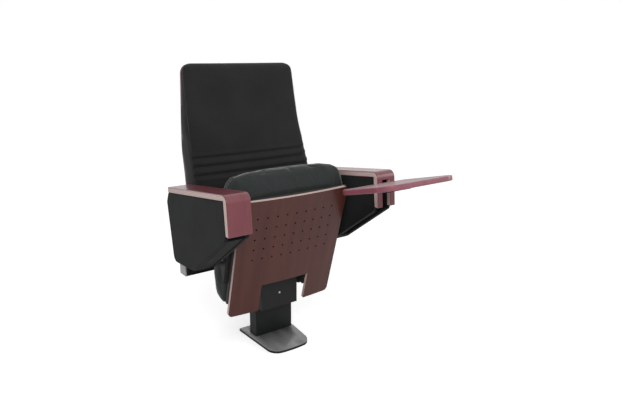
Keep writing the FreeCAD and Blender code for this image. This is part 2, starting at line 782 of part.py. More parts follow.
half_low, half_top = s.back_half_low.value, s.back_half_top.value
shell = back_band(s.shell_thick.value, 0, half_low, half_top)
solid_part("back_shell", shell.common(back_outline(s.shell_low.value, 0)))
strap_rear = s.shell_thick.value + s.soft_gap.value
strap_front = strap_rear + s.bracket_thick.value
board_front = strap_front + s.board_thick.value
board = back_band(board_front, strap_rear, half_low, half_top)
board = board.common(back_outline(s.board_low.value, s.board_inset.value))
straps = {}
for side, sign in SIDES.items():
    x = s.bracket_x.value * sign - s.bracket_wide.value / 2
    high = s.board_low.value + s.bracket_lap.value
    room = Part.makeBox(s.bracket_wide.value, 400, high - s.shell_low.value, Vector(x, 0, s.shell_low.value))
    strap = back_band(strap_front, strap_rear, half_low, half_top).common(room)
    foot_z = s.beam_low.value + s.beam_size.value
    foot_y = back_points(strap_front)[0].y
    lower = Part.makeBox(
        s.bracket_wide.value, s.bracket_thick.value, s.shell_low.value - foot_z, Vector(x, foot_y, foot_z)
    )
    straps[side] = strap.fuse(lower).removeSplitter()
    gap = s.soft_gap.value
    groove_low = s.board_low.value - gap
    wide, tall = s.bracket_wide.value + gap * 2, high + gap - groove_low
    groove = Part.makeBox(wide, 400, tall, Vector(x - gap, 0, groove_low))
    board = board.cut(back_band(strap_front + gap, 0, half_low, half_top).common(groove))
solid_part("back_board", board)
for side in SIDES:
    solid_part(f"back_bracket_{side}", straps[side])

channels = [s.channel_low.value + s.channel_pitch.value * k for k in range(3)]


def back_profile(shrink, crown):
    """Side profile of the back cushion, with its sewn channels as shallow notches in the front."""
    top = s.back_top.value - s.head_wall.value - shrink
    low = s.board_low.value + shrink
    chest, lumbar = (y.value + shrink - crown for y in (s.chest_y, s.lumbar_y))
    points = [
        (chest + 10, top, 8 - shrink * 0.7),
        (chest, top - 30, 30),
        (chest, s.chest_low.value, 60),
        (lumbar + (chest - lumbar) * 0.73, s.lumbar_high.value * 0.52 + s.chest_low.value * 0.48, 30),
        (lumbar + 10, s.lumbar_high.value, 24),
    ]
    depth = s.channel_deep.value - shrink * 0.4
    for z in reversed(channels):
        points += [(lumbar, z + 7, 3), (lumbar + depth, z, 1.5), (lumbar, z - 7, 3)]
    points += [(lumbar + 2, low + 50, 20), (lumbar + 16, low, 16)]
    rear = [(y - board_front - s.soft_gap.value, z) for y, z in back_rear_line(low, top - 9)]
    return points + [(y, z, r) for (y, z), r in zip(rear, (4, 60, 60, 60, 3))]


def back_rear_line(low, high):
    """Rear of the shell at five heights from low to high, where the cushion's own rear line turns."""
    curve = Part.BSplineCurve()
    curve.interpolate(back_points(0))
    heights = [low + (high - low) * k / 4 for k in range(5)]
    line = []
    for z in heights:
        cut = curve.intersectCC(Part.LineSegment(Vector(0, -100, z), Vector(0, 500, z)))
        line.append((cut[0].Y, z))
    return line


back = loft_across(back_profile, soft_stations(half_low, s.back_crown.value, 7))
solid_part("back_cushion", back.common(back_outline(s.board_low.value, 0.5)))

# Writing tablet, drawn level about its swing axis and tilted with its front up.
tablet_place = Placement(
    Vector(0, swing_y.value, swing_z.value),
    Rotation(Vector(1, 0, 0), -s.tablet_tilt.value),
)
bar_top = s.bar_deep / 2
bar = plate(
    "tablet_arm",
    "YZ_Plane",
    rectangle(-s.bar_reach, s.bar_tail, -bar_top, bar_top),
    s.bar_left,
    s.bar_thick,
    (0, 1),
    bar_top - s.bush_wall,
    tablet_place,
)
ledge_far, ledge_near = -s.bar_reach + s.bar_deep, -s.tablet_near - s.bar_deep
ledge = outline(
    new_sketch(bar, "XY_Plane", bar_top - s.flange_thick),
    rectangle(s.bar_left - s.ledge_wide, s.bar_left, ledge_far, ledge_near),
)
pad(bar, ledge, s.flange_thick)
drill(bar, "YZ_Plane", [(0, 0)], s.swing_radius + s.pin_fit, s.bar_left, s.bar_thick)
swing_pin = pin(
    "tablet_pin",
    "YZ_Plane",
    (0, 0),
    s.swing_radius,
    frame_outer,
    s.bar_left + s.bar_thick + s.bush_wall - frame_outer,
    tablet_place,
)
collar_length = s.bar_left - s.side_gap - frame_outer
collar = circles(new_sketch(swing_pin, "YZ_Plane", frame_outer), [(0, 0)], s.swing_radius + s.bush_wall)
pad(swing_pin, collar, collar_length)

# Flip hinge: knuckles turn about a pin beside the bar, by turns on the bar and on the board's leaf.
flip_x = s.bar_left + s.bar_thick + s.flip_gap
flip_z = bar_top - s.flip_gap
knuckle_radius = s.flip_gap - s.side_gap
knuckle_pitch = (s.bar_reach - s.tablet_near - s.bar_deep) / s.knuckles
knuckle_run = knuckle_pitch - s.side_gap
flip_start = -s.bar_reach + s.bar_tail
leaf = new_body("tablet_leaf", tablet_place)
leaf_low = bar_top + s.board_gap - s.leaf_thick
for k in range(round(s.knuckles.value)):
    owner, begin = (leaf, bar)[k % 2], -(flip_start + knuckle_pitch * (k + 1))
    barrel = circles(new_sketch(owner, "XZ_Plane", begin), [(flip_x, flip_z)], knuckle_radius)
    pad(owner, barrel, knuckle_run)
    if owner is bar:
        web = rectangle(s.bar_left + s.bar_thick, flip_x, flip_z - knuckle_radius, flip_z)
    else:
        web = rectangle(flip_x, flip_x + s.flip_gap, flip_z, bar_top + s.board_gap)
    pad(owner, outline(new_sketch(owner, "XZ_Plane", begin), web), knuckle_run)
    if k == 0:
        edge = s.tablet_right - s.leaf_thick * 2
        wing = rectangle(flip_x + s.flip_gap, edge, leaf_low, bar_top + s.board_gap)
        wing_run = knuckle_pitch * s.knuckles - s.side_gap
        pad(owner, outline(new_sketch(owner, "XZ_Plane", -flip_start - wing_run), wing), wing_run)
for owner in (leaf, bar):
    bore = circles(
        new_sketch(owner, "XZ_Plane", -flip_start - knuckle_pitch * s.knuckles),
        [(flip_x, flip_z)],
        s.flip_radius + (s.pin_fit if owner is leaf else size(0)),
    )
    pocket(owner, bore, knuckle_pitch * s.knuckles)
pin(
    "tablet_hinge_pin",
    "XZ_Plane",
    (flip_x, flip_z),
    s.flip_radius,
    -flip_start - knuckle_pitch * s.knuckles + s.side_gap,
    knuckle_pitch * s.knuckles - s.side_gap,
    tablet_place,
)
board_low = bar_top + s.board_gap
tablet_corners = [
    (s.tablet_left, -s.tablet_far),
    (s.tablet_right, -s.tablet_far),
    (s.tablet_right, -s.tablet_near),
    (s.tablet_left, -s.tablet_near),
]
plate(
    "tablet_board",
    "XY_Plane",
    tablet_corners,
    board_low,
    s.tablet_thick,
    (0, 1, 3),
    s.tablet_round,
    tablet_place,
)

doc.recompute()
for thing in doc.Objects:
    if "Invalid" in thing.State or "Error" in thing.State:
        raise RuntimeError(f"{thing.Label} did not build: {thing.State}")
for part in PARTS:
    if part.Shape.isNull() or not part.Shape.isValid():
        raise RuntimeError(f"{part.Label} is not a valid shape")

os.makedirs("parts", exist_ok=True)
for part in PARTS:
    part.Shape.exportStep(f"parts/{part.Label}.step")
print(len(PARTS), "parts")
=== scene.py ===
import json
import math

import bmesh
import bpy
from mathutils import Matrix, Vector
from mathutils.bvhtree import BVHTree

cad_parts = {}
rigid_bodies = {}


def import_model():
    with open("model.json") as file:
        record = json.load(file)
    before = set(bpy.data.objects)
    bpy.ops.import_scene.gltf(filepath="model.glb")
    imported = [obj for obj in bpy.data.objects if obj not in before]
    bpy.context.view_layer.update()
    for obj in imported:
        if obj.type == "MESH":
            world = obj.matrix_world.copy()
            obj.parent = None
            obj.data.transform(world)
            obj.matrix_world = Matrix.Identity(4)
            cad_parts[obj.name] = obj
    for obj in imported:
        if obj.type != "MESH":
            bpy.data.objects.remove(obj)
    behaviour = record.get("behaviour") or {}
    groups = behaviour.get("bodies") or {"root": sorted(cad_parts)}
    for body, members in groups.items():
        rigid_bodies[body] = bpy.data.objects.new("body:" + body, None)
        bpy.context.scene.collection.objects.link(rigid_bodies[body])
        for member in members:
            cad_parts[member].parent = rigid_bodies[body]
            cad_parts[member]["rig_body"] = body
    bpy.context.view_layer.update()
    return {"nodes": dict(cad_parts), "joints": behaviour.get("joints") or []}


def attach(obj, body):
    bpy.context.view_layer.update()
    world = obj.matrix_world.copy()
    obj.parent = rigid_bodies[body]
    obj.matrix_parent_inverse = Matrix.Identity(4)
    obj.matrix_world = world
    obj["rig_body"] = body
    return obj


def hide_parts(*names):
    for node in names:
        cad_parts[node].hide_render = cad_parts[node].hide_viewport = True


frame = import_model()
nodes = frame["nodes"]


# Foot, column and beam: welded steel tube and plate under black powder coat, bolted to the floor.
# The foot wears a smooth moulded cover that hides the bolts.
NOISE_LOW, NOISE_HIGH = 0.3, 0.7


def new_material(name, colour, roughness, metallic=0.0):
    material = bpy.data.materials.new(name)
    material.use_nodes = True
    shader = material.node_tree.nodes["Principled BSDF"]
    shader.inputs["Base Color"].default_value = (*colour, 1)
    shader.inputs["Roughness"].default_value = roughness
    shader.inputs["Metallic"].default_value = metallic
    return material, material.node_tree, shader


def add_node(tree, kind, inputs=(), **settings):
    """Adds a node; each input is given a number, a colour or the socket that feeds it."""
    made = tree.nodes.new(kind)
    for key, value in settings.items():
        setattr(made, key, value)
    for key, value in dict(inputs).items():
        if isinstance(value, bpy.types.NodeSocket):
            tree.links.new(value, made.inputs[key])
        else:
            made.inputs[key].default_value = value
    return made


def object_noise(tree, scale, detail=3.0, stretch=(1, 1, 1)):
    """Noise over the piece's own coordinates, drawn together where stretch is large."""
    place = add_node(tree, "ShaderNodeTexCoord").outputs["Object"]
    if stretch != (1, 1, 1):
        drawn = {"Vector": place, "Scale": stretch}
        place = add_node(tree, "ShaderNodeMapping", drawn).outputs["Vector"]
    noise = {"Vector": place, "Scale": scale, "Detail": detail}
    return add_node(tree, "ShaderNodeTexNoise", noise).outputs["Fac"]


def ramp(tree, fac, stops):
    """Colours along fac, as (place, colour) stops."""
    made = add_node(tree, "ShaderNodeValToRGB", {"Fac": fac})
    elements = made.color_ramp.elements
    for k, (place, colour) in enumerate(stops):
        stop = elements[k] if k < 2 else elements.new(place)
        stop.position = place
        stop.color = (*colour, 1)
    return made.outputs["Color"]


def mottled(tree, noise, dark, light):
    """Two tones over the range in which most of a noise lies."""
    return ramp(tree, noise, [(NOISE_LOW, dark), (NOISE_HIGH, light)])


def between(tree, noise, low, high):
    """A number from low to high over that same range."""
    spread = {"From Min": NOISE_LOW, "From Max": NOISE_HIGH, "To Min": low, "To Max": high}
    return add_node(tree, "ShaderNodeMapRange", {"Value": noise, **spread}).outputs["Result"]


def bump(tree, shader, height, distance, strength=1.0):
    relief = {"Height": height, "Distance": distance, "Strength": strength}
    made = add_node(tree, "ShaderNodeBump", relief)
    tree.links.new(made.outputs["Normal"], shader.inputs["Normal"])


def coated_steel():
    material, tree, shader = new_material("black_powder_coat", (0.009, 0.010, 0.010), 0.42)
    shader.inputs["Specular IOR Level"].default_value = 0.22
    tone = mottled(tree, object_noise(tree, 9), (0.007, 0.008, 0.008), (0.012, 0.013, 0.013))
    tree.links.new(tone, shader.inputs["Base Color"])
    tree.links.new(between(tree, object_noise(tree, 25), 0.34, 0.46), shader.inputs["Roughness"])
    bump(tree, shader, object_noise(tree, 1400, 2), 0.00012, 0.6)
    return material


def moulded_plastic(name, colour, roughness, gloss=0.5):
    material, tree, shader = new_material(name, colour, roughness)
    shader.inputs["Specular IOR Level"].default_value = gloss
    dark, light = [c * 0.85 for c in colour], [c * 1.15 for c in colour]
    tree.links.new(mottled(tree, object_noise(tree, 14), dark, light), shader.inputs["Base Color"])
    worn = between(tree, object_noise(tree, 40), roughness - 0.05, roughness + 0.06)
    tree.links.new(worn, shader.inputs["Roughness"])
    bump(tree, shader, object_noise(tree, 2200, 2), 0.00008, 0.5)
    return material


def link(name, mesh):
    piece = bpy.data.objects.new(name, mesh)
    bpy.context.scene.collection.objects.link(piece)
    return piece


def settle(piece):
    """Turns the piece and its modifiers into one plain mesh."""
    evaluated = piece.evaluated_get(bpy.context.evaluated_depsgraph_get())
    shaped = bpy.data.meshes.new_from_object(evaluated)
    piece.modifiers.clear()
    piece.data = shaped
    return piece


def smoothed(mesh):
    mesh.polygons.foreach_set("use_smooth", [True] * len(mesh.polygons))


WELD, FLAT, SHARP = 2e-5, math.radians(0.3), math.radians(28)


def clean_copy(node):
    """A welded copy of a node's mesh, with its flat faces whole."""
    mesh = nodes[node].data.copy()
    form = bmesh.new()
    form.from_mesh(mesh)
    bmesh.ops.remove_doubles(form, verts=form.verts, dist=WELD)
    bmesh.ops.dissolve_limit(form, angle_limit=FLAT, verts=form.verts, edges=form.edges)
    form.to_mesh(mesh)
    form.free()
    for layer in ("custom_normal", "sharp_edge", "sharp_face"):
        if layer in mesh.attributes:
            mesh.attributes.remove(mesh.attributes[layer])
    smoothed(mesh)
    mesh.materials.clear()
    return mesh


def eased(node, width, material, segments=2):
    """The node's own shape with its sharp edges rounded to width, riding where the node does."""
    piece = link(f"{node}_shape", clean_copy(node))
    edges = piece.modifiers.new("edges", "BEVEL")
    edges.width = width
    edges.segments = segments
    edges.limit_method = "ANGLE"
    edges.angle_limit = SHARP
    edges.use_clamp_overlap = True
    piece.modifiers.new("normals", "WEIGHTED_NORMAL").keep_sharp = True
    settle(piece)
    piece.data.materials.clear()
    piece.data.materials.append(material)
    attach(piece, nodes[node]["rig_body"])
    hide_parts(node)
    return piece


def finish_nodes(material, *names):
    for name in names:
        nodes[name].data.materials.clear()
        nodes[name].data.materials.append(material)


black_steel = coated_steel()
for name in ("column", "saddle_tube", "cross_beam", "arm_frame_left", "arm_frame_right"):
    eased(name, 0.0015, black_steel)
for name in ("hinge_plate_left", "hinge_plate_right"):
    eased(name, 0.0006, black_steel)

FOOT_HALF, COVER_FRONT, FOOT_REACH = 0.086, 0.013, 0.123
FOOT_BACK, FOOT_BOW, FOOT_TAPER, SLICE = 0.005, 0.009, 0.07, 0.02


def unit(value):
    """The value, kept from 0 to 1."""
    return min(max(value, 0), 1)


def flare(piece):
    """Narrows the foot towards its front and bows its front edge."""
    form = bmesh.new()
    form.from_mesh(piece.data)
    for step in range(-3, 4):
        whole = form.verts[:] + form.edges[:] + form.faces[:]
        at = (step * SLICE, 0, 0)
        bmesh.ops.bisect_plane(form, geom=whole, plane_co=at, plane_no=(1, 0, 0))
    for v in form.verts:
        front = unit((-COVER_FRONT - v.co.y) / FOOT_REACH)
        v.co.y += front * (FOOT_BACK - FOOT_BOW * (1 - min(abs(v.co.x) / FOOT_HALF, 1) ** 2))
        v.co.x *= 1 - FOOT_TAPER * front
    form.to_mesh(piece.data)
    form.free()


flare(eased("foot_plate", 0.0006, black_steel))
# The cover's light grey is partly its own colour and partly painted reflection: the base is raised
# so the top reads as light as the white surround mirrored in it.
foot_grey_and_reflection = moulded_plastic("foot_cover_grey_and_reflection", (0.23, 0.23, 0.235), 0.34)
flare(eased("foot_cover", 0.0008, foot_grey_and_reflection))
head_black = moulded_plastic("head_cover_black", (0.010, 0.010, 0.010), 0.48, 0.25)
eased("head_cover", 0.0018, head_black, 3)
plug_grey = moulded_plastic("beam_plug_grey", (0.46, 0.46, 0.45), 0.5)
for side in ("left", "right"):
    eased(f"beam_end_{side}", 0.001, plug_grey)


# Hinge hardware: zinc plated pins and counterweight bar, with white nylon bushes on the pins.
# The pins are fixed in the arms and the tipping seat turns on them.
def plated_steel():
    material, tree, shader = new_material("zinc_plate", (0.52, 0.52, 0.50), 0.34, 1.0)
    tone = mottled(tree, object_noise(tree, 60), (0.42, 0.42, 0.41), (0.60, 0.60, 0.58))
    tree.links.new(tone, shader.inputs["Base Color"])
    tree.links.new(between(tree, object_noise(tree, 120), 0.26, 0.44), shader.inputs["Roughness"])
    bump(tree, shader, object_noise(tree, 1800, 2), 0.00005, 0.5)
    return material


zinc = plated_steel()
nylon = moulded_plastic("white_nylon", (0.72, 0.71, 0.66), 0.45)
finish_nodes(zinc, "pivot_pin_left", "pivot_pin_right", "tablet_pin")
finish_nodes(zinc, "counterweight", "cover_screw")
finish_nodes(nylon, "pivot_bush_left", "pivot_bush_right")


# Bent plywood of the arm caps: mahogany veneer outside, pale layers bare at the edges.
# Each cap is one moulding, bent down over the front of its arm.
def multiplied(tree, share, tone, seam_painted_shade):
    """The tone darkened or lightened by the shade, to that share."""
    sockets = {"Factor": share, "A": tone, "B": seam_painted_shade}
    made = add_node(tree, "ShaderNodeMix", sockets, data_type="RGBA", blend_type="MULTIPLY")
    return made.outputs["Result"]


def veneer(name, dark, light, gloss):
    """Stained, lacquered veneer: a long soft figure in two tones, fine pores along the grain."""
    middle = [(a + b) / 2 for a, b in zip(dark, light)]
    material, tree, shader = new_material(name, middle, 0.34)
    figure = object_noise(tree, 5, 6, (7, 0.6, 0.6))
    pores = object_noise(tree, 90, 3, (12, 0.35, 0.35))
    tone = mottled(tree, figure, dark, light)
    fine = ramp(tree, pores, [(0.32, (0.78, 0.75, 0.75)), (0.5, (1, 1, 1))])
    tree.links.new(multiplied(tree, 0.3, tone, fine), shader.inputs["Base Color"])
    tree.links.new(between(tree, figure, 0.30, 0.38), shader.inputs["Roughness"])
    shader.inputs["Specular IOR Level"].default_value = 0.3
    shader.inputs["Coat Weight"].default_value = gloss
    shader.inputs["Coat Roughness"].default_value = 0.16
    bump(tree, shader, pores, 0.0001, 0.25)
    return material


LAYERS, CUT_THROUGH = 9.0, 0.3


def ply_edge():
    """Bare edge of the plywood: pale and darker layers in turn, by the attribute "depth"."""
    material, tree, shader = new_material("bare_ply_edge", (0.55, 0.42, 0.38), 0.5)
    depth = add_node(tree, "ShaderNodeAttribute", attribute_name="depth").outputs["Fac"]
    count = {0: depth, 1: LAYERS}
    layers = add_node(tree, "ShaderNodeMath", count, operation="MULTIPLY").outputs["Value"]
    fold = {0: layers, 1: 1.0}
    wave = add_node(tree, "ShaderNodeMath", fold, operation="PINGPONG").outputs["Value"]
    glue, pale, palest = (0.40, 0.27, 0.24), (0.60, 0.46, 0.43), (0.66, 0.53, 0.50)
    tone = ramp(tree, wave, [(0.1, glue), (0.45, pale), (0.9, palest)])
    grain = ramp(tree, object_noise(tree, 260, 4), [(0.3, (0.8, 0.78, 0.76)), (0.6, (1, 1, 1))])
    tree.links.new(multiplied(tree, 0.6, tone, grain), shader.inputs["Base Color"])
    bump(tree, shader, wave, 0.0001, 0.4)
    return material


def show_layers(piece, depth_of, edge_material):
    """Marks how deep each point lies in its sheet, 0 to 1, and bares the faces cut through it."""
    mesh = piece.data
    depths = [unit(depth_of(v.co)) for v in mesh.vertices]
    mesh.attributes.new("depth", "FLOAT", "POINT").data.foreach_set("value", depths)
    mesh.materials.append(edge_material)
    for face in mesh.polygons:
        across = [depths[k] for k in face.vertices]
        face.material_index = int(max(across) - min(across) > CUT_THROUGH)


CAP_THICK, CAP_BEND = 0.019, 0.024
CAP_REAR, CAP_CORNER = Vector((0.131, 0.582)), Vector((-0.278, 0.637))
CAP_FOOT = Vector((-0.288, 0.514))


def cap_depth(point):
    """Depth below the outer face of a cap, round its bend too."""
    here = Vector((point.y, point.z))
    top, front = (CAP_REAR - CAP_CORNER).normalized(), (CAP_FOOT - CAP_CORNER).normalized()
    below_top = (here - CAP_CORNER).dot(Vector((top.y, -top.x)))
    behind = (here - CAP_CORNER).dot(Vector((-front.y, front.x)))
    if below_top < CAP_BEND and behind < CAP_BEND:
        from_centre = Vector((CAP_BEND - below_top, CAP_BEND - behind)).length
        return (CAP_BEND - from_centre) / CAP_THICK
    return min(below_top, behind) / CAP_THICK


mahogany = veneer("cap_mahogany", (0.140, 0.031, 0.042), (0.190, 0.048, 0.060), 0.6)
bare_ply = ply_edge()
for side in ("left", "right"):
    show_layers(eased(f"arm_cap_{side}", 0.0022, mahogany, 3), cap_depth, bare_ply)


# Side boards of the arms and the strips that close them below: plywood under dark woven cloth.
# The cloth is drawn round the edges and stapled behind, so the edges look soft.
def arm_cloth():
    material, tree, shader = new_material("arm_cloth", (0.010, 0.011, 0.011), 0.85)
    shader.inputs["Specular IOR Level"].default_value = 0.12
    place = add_node(tree, "ShaderNodeTexCoord").outputs["Object"]
    waves = []
    for direction in ("Y", "Z"):
        threads = {"Vector": place, "Scale": 260.0, "Distortion": 0.6, "Detail": 1.0}
        wave = add_node(tree, "ShaderNodeTexWave", threads, bands_direction=direction)
        waves.append(wave.outputs["Fac"])
    crossed = dict(enumerate(waves))
    weave = add_node(tree, "ShaderNodeMath", crossed, operation="MULTIPLY").outputs["Value"]
    tone = mottled(tree, object_noise(tree, 11, 4), (0.008, 0.009, 0.009), (0.014, 0.0155, 0.0155))
    relief = ramp(tree, weave, [(0.0, (0.62, 0.62, 0.62)), (0.6, (1.25, 1.25, 1.25))])
    tree.links.new(multiplied(tree, 1.0, tone, relief), shader.inputs["Base Color"])
    shader.inputs["Sheen Weight"].default_value = 0.06
    shader.inputs["Sheen Roughness"].default_value = 0.5
    bump(tree, shader, weave, 0.0003, 0.6)
    return material


board_cloth = arm_cloth()
for side in ("left", "right"):
    for part in ("inner", "outer"):
        eased(f"arm_{part}_{side}", 0.0035, board_cloth, 4)
    eased(f"arm_base_{side}", 0.001, board_cloth)


# Seat underside: a bowed plywood moulding with stained, lacquered mahogany veneer, bored in rows.
# It is screwed to the seat pan, and notched at the rear to clear the head of the column.
SEAT_LEAN = math.radians(15.2 - 90)


def place_of_seat():
    """Where the tipped-up seat stands: its own axes, turned about the hinge."""
    hinge = next(joint for joint in frame["joints"] if joint["name"] == "seat_tip")
    return Matrix.Translation(hinge["pos_m"]) @ Matrix.Rotation(SEAT_LEAN, 4, "X")


SEAT = place_of_seat()
TO_SEAT = SEAT.inverted()
PANEL_HALF, PANEL_LOW, PANEL_THICK, PANEL_BOW = 0.210, -0.0488, 0.012, 0.009
HOLES_HALF, HOLES_FRONT, HOLES_REAR = PANEL_HALF - 0.02, -0.2, 0.09


def panel_depth(point):
    local = TO_SEAT @ point
    return (local.z - PANEL_LOW + PANEL_BOW * (1 - (local.x / PANEL_HALF) ** 2)) / PANEL_THICK


def ply_stain_and_painted_shade(name, dark, light):
    material, tree, shader = new_material(name, light, 0.6)
    tone = mottled(tree, object_noise(tree, 6, 5, (8, 1, 1)), dark, light)
    tree.links.new(tone, shader.inputs["Base Color"])
    bump(tree, shader, object_noise(tree, 120, 3, (12, 0.5, 0.5)), 0.0001, 0.4)
    return material


dark_mahogany = veneer("panel_mahogany", (0.062, 0.014, 0.011), (0.084, 0.023, 0.016), 0.2)
# Painted shade: the walls of the bored holes are coloured near black, standing for the dark space
# behind the panel.
hole_painted_shade = ply_stain_and_painted_shade("bored_holes_painted_shade", (0.006, 0.004, 0.004), (0.010, 0.007, 0.007))
seat_panel = eased("seat_panel", 0.0008, dark_mahogany)
show_layers(seat_panel, panel_depth, bare_ply)
# The faces cut through the panel within the rows of holes take that painted shade.
seat_panel.data.materials.append(hole_painted_shade)
for face in seat_panel.data.polygons:
    centre = TO_SEAT @ face.center
    in_rows = abs(centre.x) < HOLES_HALF and HOLES_FRONT < centre.y < HOLES_REAR
    if face.material_index == 1 and in_rows:
        face.material_index = 2


# Seat pan: a plywood board that carries the seat cushion, bolted between the two hinge plates.
# It is coloured near black as painted shade, so that the holes of the panel in front of it look
# dark.
pan_painted_shade_ply = ply_stain_and_painted_shade("pan_painted_shade_ply", (0.012, 0.012, 0.012), (0.022, 0.021, 0.020))
eased("seat_pan", 0.0008, pan_painted_shade_ply)


# Backrest behind the cushion: the moulded shell, its inner board and the two steel straps.
# They follow the side curve and the width that the photograph shows, upright in the lower half.
LEAN = (
    (0.330, 0.002), (0.460, -0.006), (0.563, -0.018), (0.628, -0.0113),
    (0.695, 0.001), (0.732, -0.001), (0.862, 0.0096), (0.979, 0.024),
)
CURVE_STEP = 0.012
EDGE, TOP_HALF, WIDER, WIDER_OVER = 0.982, 0.219, 0.022, 0.52
SHELL_INSET, SHELL_TOP, SHELL_WIDER, SHELL_TALL = 0.006, 0.979, 0.010, 0.649


def along(knots, at):
    """Height-wise interpolation through (place, value) knots, its corners rounded by averaging."""
    def straight(place):
        for (low, first), (high, last) in zip(knots, knots[1:]):
            if place <= high:
                return first + (last - first) * (max(place, low) - low) / (high - low)
        return last
    return sum(straight(at + step * CURVE_STEP) for step in (-2, -1, 0, 1, 2)) / 5


def back_half(z):
    """Half width of the backrest: it widens evenly from the top down to the arms."""
    return TOP_HALF + WIDER * (EDGE - z) / WIDER_OVER


def lean_back(piece, widen=False):
    """Moves the piece to the photographed curve; the shell also takes on the cushion's width."""
    for v in piece.data.vertices:
        v.co.y += along(LEAN, v.co.z)
        if widen:
            solid_half = TOP_HALF + SHELL_WIDER * (SHELL_TOP - v.co.z) / SHELL_TALL
            v.co.x *= (back_half(v.co.z) - SHELL_INSET) / solid_half
    return piece


back_shell = lean_back(eased("back_shell", 0.002, mahogany, 3), widen=True)
birch = ply_stain_and_painted_shade("plain_ply", (0.11, 0.075, 0.05), (0.20, 0.14, 0.09))
back_board = lean_back(eased("back_board", 0.0008, birch))
for side in ("left", "right"):
    lean_back(eased(f"back_bracket_{side}", 0.0006, black_steel))


# Writing tablet: veneered plywood with rounded corners, on a steel bar in the slot of the arm.
# The bar ends in a short hinge under the edge of the board, as the photograph shows it.
TILT = Matrix.Rotation(math.radians(-14.3), 4, "X")
SWING = Matrix.Translation((0, -0.2458, 0.5615)) @ TILT
BAR_BEND, BAR_UNDER, BAR_KEPT = -0.100, 0.007, 0.42
BAR_TAPER, BAR_THINNED = 0.09, 0.6


def shorten(piece):
    """Gathers the part of the bar under the board to the length and depth of its hinge."""
    back = SWING.inverted()
    for v in piece.data.vertices:
        local = back @ v.co
        over = BAR_BEND - local.y
        if over > 0:
            local.y = BAR_BEND - over * BAR_KEPT
            if local.z < BAR_UNDER:
                depth = 1 - BAR_THINNED * min(over / BAR_TAPER, 1)
                local.z = BAR_UNDER + (local.z - BAR_UNDER) * depth
            v.co = SWING @ local


hinge_steel = {"tablet_arm": black_steel, "tablet_leaf": zinc, "tablet_hinge_pin": zinc}
for name, material in hinge_steel.items():
    shorten(eased(name, 0.0003, material))
tablet_mahogany = veneer("tablet_mahogany", (0.20, 0.052, 0.075), (0.27, 0.078, 0.105), 0.5)
eased("tablet_board", 0.0028, tablet_mahogany, 3)


# Seat cushion: moulded foam under short-pile cloth, its top sewn to a boxing round the sides.
# It is notched at the rear like the panel, to clear the head of the column.
def pile_cloth(name, dark, light, sheen):
    """Short pile, with a groove and painted shade in it wherever the attribute "seam" comes near
    nought.
    """
    material, tree, shader = new_material(name, light, 0.9)
    shader.inputs["Specular IOR Level"].default_value = 0.2
    tone = mottled(tree, object_noise(tree, 7, 5), dark, light)
    pile = object_noise(tree, 900, 3)
    fibres = mottled(tree, pile, (0.65, 0.65, 0.65), (1.3, 1.3, 1.3))
    seam = add_node(tree, "ShaderNodeAttribute", attribute_name="seam").outputs["Fac"]
    groove = {"Value": seam, "From Min": 0.0, "From Max": 0.0018, "To Min": 0.0, "To Max": 1.0}
    rise = add_node(tree, "ShaderNodeMapRange", groove, interpolation_type="SMOOTHSTEP")
    rise = rise.outputs["Result"]
    # Painted shade: the cloth's colour darkens along the seam, where the groove would lie in
    # shadow.
    seam_painted_shade = ramp(tree, rise, [(0.0, (0.35, 0.35, 0.35)), (0.8, (1, 1, 1))])
    cloth_shaded_at_seam = multiplied(tree, 1.0, multiplied(tree, 1.0, tone, fibres), seam_painted_shade)
    tree.links.new(cloth_shaded_at_seam, shader.inputs["Base Color"])
    shader.inputs["Sheen Weight"].default_value = sheen
    shader.inputs["Sheen Roughness"].default_value = 0.35
    relief = {0: pile, 1: 0.2, 2: rise}
    height = add_node(tree, "ShaderNodeMath", relief, operation="MULTIPLY_ADD").outputs["Value"]
    bump(tree, shader, height, 0.0012, 0.8)
    return material


VOXEL, SMOOTHINGS, SIMULATED_FRAMES = 0.005, 5, 14


def push_out(piece, distance):
    """Moves every point of the piece along its normal."""
    for v, normal in [(v, v.normal.copy()) for v in piece.data.vertices]:
        v.co += normal * distance


def foam(piece, shrink, rise, limit):
    """Makes the piece soft: remeshed, drawn in by shrink, then swelled by pressure up to limit."""
    remesh = piece.modifiers.new("remesh", "REMESH")
    remesh.mode = "VOXEL"
    remesh.voxel_size = VOXEL
    piece.modifiers.new("smooth", "SMOOTH").iterations = SMOOTHINGS
    settle(piece)
    push_out(piece, -shrink)
    start = [v.co.copy() for v in piece.data.vertices]
    cloth = piece.modifiers.new("cloth", "CLOTH").settings
    cloth.quality = 5
    cloth.mass = 0.3
    cloth.tension_stiffness = cloth.compression_stiffness = 18
    cloth.shear_stiffness = 8
    cloth.bending_stiffness = 0.6
    cloth.use_pressure = True
    cloth.uniform_pressure_force = rise
    cloth.effector_weights.gravity = 0
    scene = bpy.context.scene
    for number in range(1, SIMULATED_FRAMES + 1):
        scene.frame_set(number)
    settle(piece)
    scene.frame_set(1)
    for v, at in zip(piece.data.vertices, start):
        moved = v.co - at
        if moved.length > limit:
            v.co = at + moved * (limit / moved.length)
    return piece


def finer(piece):
    subdivision = piece.modifiers.new("finer", "SUBSURF")
    subdivision.levels = subdivision.render_levels = 1
    settle(piece)
    smoothed(piece.data)
    return piece


def sew(piece, distance_of):
    """Writes how far each point lies from the seam."""
    distances = [abs(distance_of(v.co)) for v in piece.data.vertices]
    piece.data.attributes.new("seam", "FLOAT", "POINT").data.foreach_set("value", distances)


def cover(piece, node, cloth):
    piece.data.materials.clear()
    piece.data.materials.append(cloth)
    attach(piece, nodes[node]["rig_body"])
    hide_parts(node)


def rounding(distance, radius):
    """How far an edge of that radius draws back, this far from its end."""
    return radius - math.sqrt(max(radius**2 - max(radius - distance, 0) ** 2, 0))


